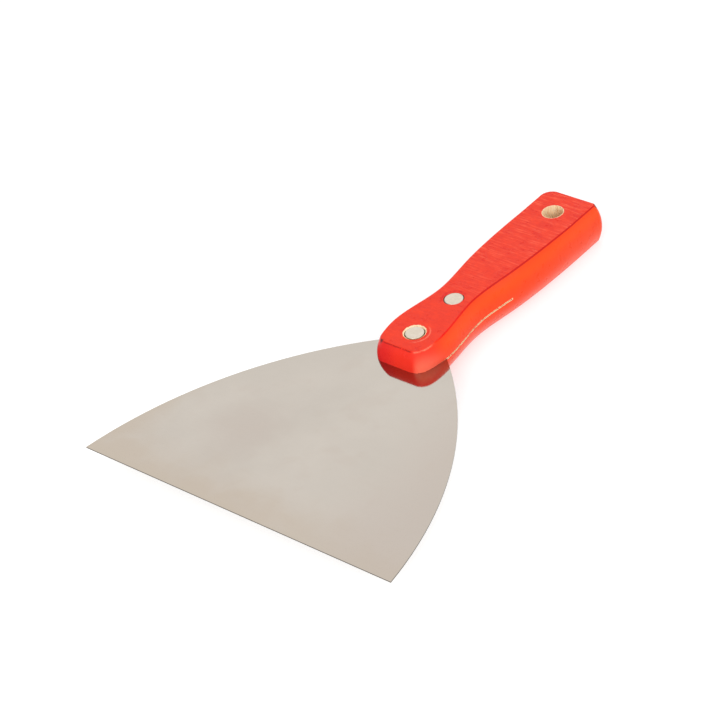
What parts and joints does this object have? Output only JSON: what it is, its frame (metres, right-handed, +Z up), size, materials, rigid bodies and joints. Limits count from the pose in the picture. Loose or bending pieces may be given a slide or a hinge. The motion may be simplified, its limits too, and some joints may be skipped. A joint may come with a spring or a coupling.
{
  "type": "flexible putty knife",
  "caption": "Wide thin spring-steel blade that flares from a waisted wooden handle, held by flush rivets, with a hanging hole.",
  "frame": {"origin": "under the middle of the knife, half way between its cutting edge and its butt, on the plane of the handle's flat underside", "axes": "+X across the knife, +Y from the cutting edge towards the handle's butt, +Z up, away from the underside; the blade lies in a level plane 8.8 mm up"},
  "size_m": [0.15, 0.2114, 0.0176],
  "materials": {
    "lacquered_wood": "glossy red lacquer",
    "spring_steel": "fine ground and polished",
    "rivet_metal": "satin"
  },
  "bodies": {
    "handle": {"handle": "lacquered_wood", "front_rivet_socket": "rivet_metal", "front_rivet_pin": "rivet_metal", "rear_rivet_socket": "rivet_metal", "rear_rivet_pin": "rivet_metal"},
    "blade": {"blade": "spring_steel"}
  },
  "joints": [
    {"name": "blade_flex", "type": "hinge", "parent": "handle", "child": "blade", "pos_m": [0, -0.03565, 0.0088], "axis": [1, 0, 0], "range_deg": [-30, 30], "stiffness_Nm_per_rad": 3, "deforming": ["blade"]}
  ]
}
